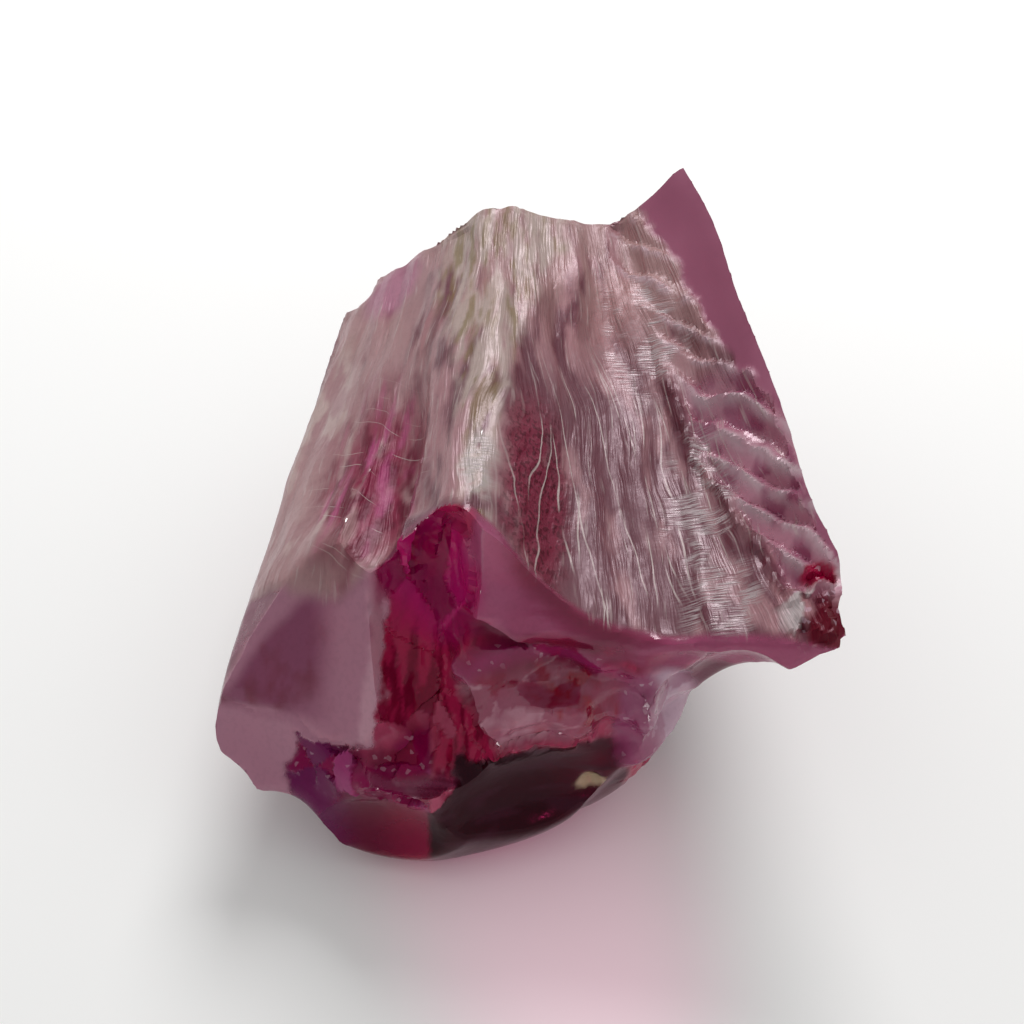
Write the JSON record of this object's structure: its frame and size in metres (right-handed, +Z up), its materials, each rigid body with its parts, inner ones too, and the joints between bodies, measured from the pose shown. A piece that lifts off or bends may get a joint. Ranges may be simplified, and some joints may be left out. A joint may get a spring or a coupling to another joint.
{
  "type": "raw ruby crystal",
  "caption": "Broken fragment of a raw ruby crystal: a tapering prism with a ridged top, shell-shaped fracture faces at the wide end and a thin wing at one side.",
  "frame": {"origin": "middle of the footprint, at the height of the resting facet", "axes": "+Z up with the fragment lying on its rounded side, +Y along the body from the wide broken end to the narrow end, +X towards the thin wing"},
  "size_m": [0.0238, 0.0256, 0.0155],
  "materials": {
    "ruby_crystal": "ruby, clear purplish red, broken faces glossy, top face frosted"
  },
  "bodies": {
    "root": {"ruby_crystal": "ruby_crystal"}
  },
  "joints": []
}
